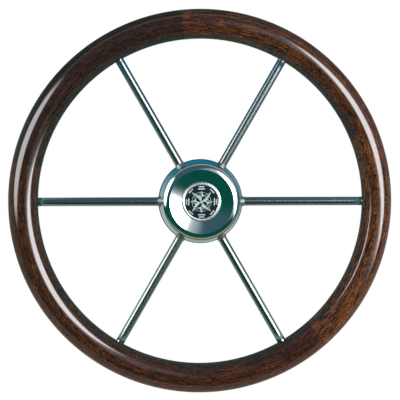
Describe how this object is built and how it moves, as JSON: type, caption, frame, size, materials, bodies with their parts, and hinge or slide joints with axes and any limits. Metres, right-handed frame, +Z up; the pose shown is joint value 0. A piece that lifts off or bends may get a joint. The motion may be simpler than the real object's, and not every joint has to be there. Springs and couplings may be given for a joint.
{
  "type": "boat steering wheel",
  "caption": "Boat steering wheel with a round varnished wooden grip, straight stainless spokes, a bowl-shaped hub with a tapered shaft bore, and a capped front with a compass badge.",
  "frame": {"origin": "on the shaft axis at the back face of the boss, where the large end of the tapered bore opens", "axes": "+Y along the shaft axis, out of the back of the wheel, so the driver looks along +Y and the front faces -Y; +Z up and +X to the right as the driver sees it"},
  "size_m": [0.3999, 0.0445, 0.4],
  "materials": {
    "grip_wood": "dark mahogany under gloss varnish",
    "rod_steel": "polished stainless rod",
    "hoop_steel": "plain mill finish, hidden in the grip",
    "boss_steel": "turned stainless",
    "bowl_steel": "spun and polished stainless",
    "cap_steel": "polished shoulder, fine circular turning on the dial",
    "seal_rubber": "matt black",
    "badge_bright": "satin bright metal",
    "badge_enamel": "black enamel"
  },
  "bodies": {
    "root": {"rim_front_half": "grip_wood", "rim_back_half": "grip_wood", "rim_hoop": "hoop_steel", "spoke_1": "rod_steel", "spoke_2": "rod_steel", "spoke_3": "rod_steel", "spoke_4": "rod_steel", "spoke_5": "rod_steel", "spoke_6": "rod_steel", "hub_boss": "boss_steel", "hub_bowl": "bowl_steel", "hub_cap": "cap_steel", "cap_seal_ring": "seal_rubber", "badge_bezel": "badge_bright", "badge_disc": "badge_enamel", "badge_rose": "badge_bright", "badge_marks": "badge_bright"}
  },
  "joints": []
}
